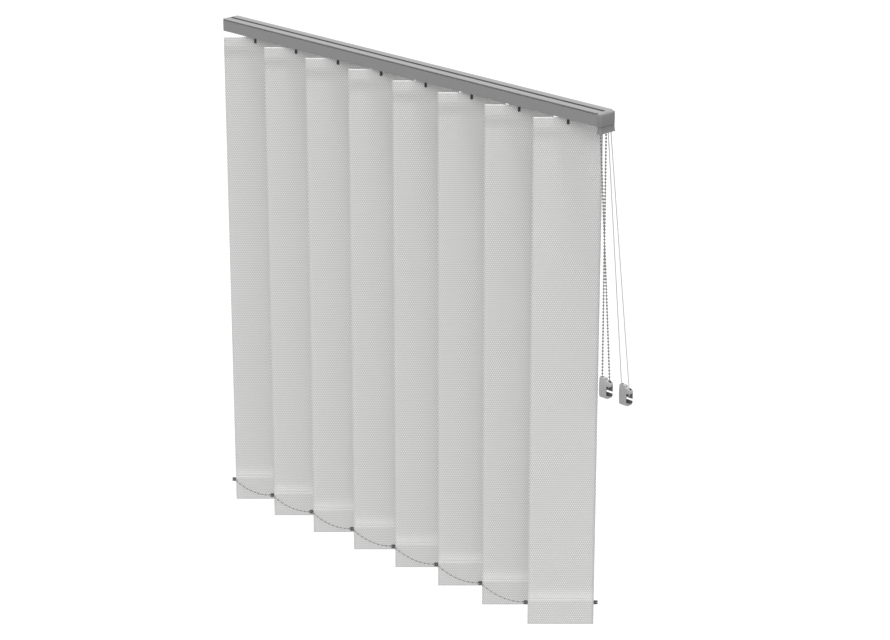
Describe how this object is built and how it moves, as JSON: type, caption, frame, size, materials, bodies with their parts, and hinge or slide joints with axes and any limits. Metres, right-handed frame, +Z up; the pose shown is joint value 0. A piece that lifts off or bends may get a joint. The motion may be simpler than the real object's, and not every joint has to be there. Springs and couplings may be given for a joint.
{
  "type": "vertical blind",
  "caption": "Vertical blind: an aluminium headrail carries turned fabric vanes on linked carriers, with a bead chain to tilt them and a draw cord to traverse them.",
  "frame": {"origin": "middle of the headrail's top face, where it lies against the ceiling or bracket", "axes": "+X along the rail towards the control end, -Y towards the room, +Z up"},
  "size_m": [1.0669, 0.1022, 1.041],
  "materials": {
    "rail_metal": "satin",
    "end_plastic": "satin",
    "inner_plastic": "satin",
    "hook_plastic": "satin",
    "rod_metal": "satin",
    "screw_steel": "satin",
    "cord_weave": "matte",
    "chain_plastic": "gloss",
    "weight_plastic": "satin",
    "vane_fabric": "matte",
    "hanger_plastic": "satin",
    "plate_plastic": "satin",
    "small_chain_plastic": "satin"
  },
  "bodies": {
    "rail": {"headrail": "rail_metal", "left_end_cap": "end_plastic", "control_housing": "end_plastic", "cord_guide": "end_plastic", "end_cap_screws": "screw_steel", "pulley_axle": "screw_steel", "draw_cord_run": "cord_weave", "draw_cord_loop": "cord_weave", "ball_chain": "chain_plastic", "chain_weight": "weight_plastic", "cord_weight": "weight_plastic", "carrier_8": "inner_plastic"},
    "carriage_1": {"carrier_1": "inner_plastic", "cord_clamp": "inner_plastic"},
    "carriage_2": {"carrier_2": "inner_plastic"},
    "carriage_3": {"carrier_3": "inner_plastic"},
    "carriage_4": {"carrier_4": "inner_plastic"},
    "carriage_5": {"carrier_5": "inner_plastic"},
    "carriage_6": {"carrier_6": "inner_plastic"},
    "carriage_7": {"carrier_7": "inner_plastic"},
    "vane_set_1": {"vane_stem_1": "hook_plastic", "vane_hanger_1": "hanger_plastic", "vane_1": "vane_fabric", "bottom_weight_1": "plate_plastic"},
    "vane_set_2": {"vane_stem_2": "hook_plastic", "vane_hanger_2": "hanger_plastic", "vane_2": "vane_fabric", "bottom_weight_2": "plate_plastic"},
    "vane_set_3": {"vane_stem_3": "hook_plastic", "vane_hanger_3": "hanger_plastic", "vane_3": "vane_fabric", "bottom_weight_3": "plate_plastic"},
    "vane_set_4": {"vane_stem_4": "hook_plastic", "vane_hanger_4": "hanger_plastic", "vane_4": "vane_fabric", "bottom_weight_4": "plate_plastic"},
    "vane_set_5": {"vane_stem_5": "hook_plastic", "vane_hanger_5": "hanger_plastic", "vane_5": "vane_fabric", "bottom_weight_5": "plate_plastic"},
    "vane_set_6": {"vane_stem_6": "hook_plastic", "vane_hanger_6": "hanger_plastic", "vane_6": "vane_fabric", "bottom_weight_6": "plate_plastic"},
    "vane_set_7": {"vane_stem_7": "hook_plastic", "vane_hanger_7": "hanger_plastic", "vane_7": "vane_fabric", "bottom_weight_7": "plate_plastic"},
    "vane_set_8": {"vane_stem_8": "hook_plastic", "vane_hanger_8": "hanger_plastic", "vane_8": "vane_fabric", "bottom_weight_8": "plate_plastic"},
    "tilt_drive": {"tilt_rod": "rod_metal", "chain_sprocket": "inner_plastic"},
    "return_pulley_wheel": {"return_pulley": "inner_plastic"},
    "cord_pulley_front_wheel": {"cord_pulley_front": "inner_plastic"},
    "cord_pulley_rear_wheel": {"cord_pulley_rear": "inner_plastic"},
    "front_chain": {"bottom_chain_front": "small_chain_plastic"},
    "back_chain": {"bottom_chain_back": "small_chain_plastic"}
  },
  "joints": [
    {"name": "traverse_1", "type": "slide", "parent": "rail", "child": "carriage_1", "axis": [1, 0, 0], "range_m": [0, 0.6888], "deforming": ["bottom_chain_front", "bottom_chain_back"]},
    {"name": "traverse_2", "type": "slide", "parent": "rail", "child": "carriage_2", "axis": [1, 0, 0], "range_m": [0, 0.5904]},
    {"name": "traverse_3", "type": "slide", "parent": "rail", "child": "carriage_3", "axis": [1, 0, 0], "range_m": [0, 0.492]},
    {"name": "traverse_4", "type": "slide", "parent": "rail", "child": "carriage_4", "axis": [1, 0, 0], "range_m": [0, 0.3936]},
    {"name": "traverse_5", "type": "slide", "parent": "rail", "child": "carriage_5", "axis": [1, 0, 0], "range_m": [0, 0.2952]},
    {"name": "traverse_6", "type": "slide", "parent": "rail", "child": "carriage_6", "axis": [1, 0, 0], "range_m": [0, 0.1968]},
    {"name": "traverse_7", "type": "slide", "parent": "rail", "child": "carriage_7", "axis": [1, 0, 0], "range_m": [0, 0.0984]},
    {"name": "tilt_1", "type": "hinge", "parent": "carriage_1", "child": "vane_set_1", "pos_m": [-0.43865, 0, -0.028], "axis": [0, 0, 1], "range_deg": [-36, 126]},
    {"name": "tilt_2", "type": "hinge", "parent": "carriage_2", "child": "vane_set_2", "pos_m": [-0.31625, 0, -0.028], "axis": [0, 0, 1], "range_deg": [-36, 126]},
    {"name": "tilt_3", "type": "hinge", "parent": "carriage_3", "child": "vane_set_3", "pos_m": [-0.19385, 0, -0.028], "axis": [0, 0, 1], "range_deg": [-36, 126]},
    {"name": "tilt_4", "type": "hinge", "parent": "carriage_4", "child": "vane_set_4", "pos_m": [-0.07145, 0, -0.028], "axis": [0, 0, 1], "range_deg": [-36, 126]},
    {"name": "tilt_5", "type": "hinge", "parent": "carriage_5", "child": "vane_set_5", "pos_m": [0.05095, 0, -0.028], "axis": [0, 0, 1], "range_deg": [-36, 126]},
    {"name": "tilt_6", "type": "hinge", "parent": "carriage_6", "child": "vane_set_6", "pos_m": [0.17335, 0, -0.028], "axis": [0, 0, 1], "range_deg": [-36, 126]},
    {"name": "tilt_7", "type": "hinge", "parent": "carriage_7", "child": "vane_set_7", "pos_m": [0.29575, 0, -0.028], "axis": [0, 0, 1], "range_deg": [-36, 126]},
    {"name": "tilt_8", "type": "hinge", "parent": "rail", "child": "vane_set_8", "pos_m": [0.41815, 0, -0.028], "axis": [0, 0, 1], "range_deg": [-36, 126]},
    {"name": "rod_turn", "type": "hinge", "parent": "rail", "child": "tilt_drive", "pos_m": [0, -0.0075, -0.0125], "axis": [1, 0, 0], "range_deg": [-432.01, 1512.01]},
    {"name": "front_chain_swing", "type": "hinge", "parent": "vane_set_8", "child": "front_chain", "pos_m": [0.36989, -0.04826, -0.995], "axis": [0, 0, 1], "range_deg": [-126.01, 36.01]},
    {"name": "back_chain_swing", "type": "hinge", "parent": "vane_set_8", "child": "back_chain", "pos_m": [0.46641, 0.04826, -0.995], "axis": [0, 0, 1], "range_deg": [-126.01, 36.01]},
    {"name": "return_pulley_turn", "type": "hinge", "parent": "rail", "child": "return_pulley_wheel", "pos_m": [-0.50115, 0.00975, -0.009], "axis": [0, 0, 1], "range_deg": [0, 11275.82]},
    {"name": "cord_pulley_front_turn", "type": "hinge", "parent": "rail", "child": "cord_pulley_front_wheel", "pos_m": [0.50485, 0.00625, -0.014], "axis": [0, 1, 0], "range_deg": [0, 7893.08]},
    {"name": "cord_pulley_rear_turn", "type": "hinge", "parent": "rail", "child": "cord_pulley_rear_wheel", "pos_m": [0.50485, 0.01325, -0.014], "axis": [0, 1, 0], "range_deg": [-7893.08, 0]}
  ],
  "couplings": [
    {"joint": "traverse_2", "follows": "traverse_1", "ratio": 0.85714},
    {"joint": "traverse_3", "follows": "traverse_1", "ratio": 0.71429},
    {"joint": "traverse_4", "follows": "traverse_1", "ratio": 0.57143},
    {"joint": "traverse_5", "follows": "traverse_1", "ratio": 0.42857},
    {"joint": "traverse_6", "follows": "traverse_1", "ratio": 0.28571},
    {"joint": "traverse_7", "follows": "traverse_1", "ratio": 0.14286},
    {"joint": "tilt_1", "follows": "tilt_8", "ratio": 1},
    {"joint": "tilt_2", "follows": "tilt_8", "ratio": 1},
    {"joint": "tilt_3", "follows": "tilt_8", "ratio": 1},
    {"joint": "tilt_4", "follows": "tilt_8", "ratio": 1},
    {"joint": "tilt_5", "follows": "tilt_8", "ratio": 1},
    {"joint": "tilt_6", "follows": "tilt_8", "ratio": 1},
    {"joint": "tilt_7", "follows": "tilt_8", "ratio": 1},
    {"joint": "rod_turn", "follows": "tilt_8", "ratio": 12},
    {"joint": "front_chain_swing", "follows": "tilt_8", "ratio": -1},
    {"joint": "back_chain_swing", "follows": "tilt_8", "ratio": -1},
    {"joint": "return_pulley_turn", "follows": "traverse_1", "rad_per_m": 285.71},
    {"joint": "cord_pulley_front_turn", "follows": "traverse_1", "rad_per_m": 200},
    {"joint": "cord_pulley_rear_turn", "follows": "traverse_1", "rad_per_m": -200}
  ]
}
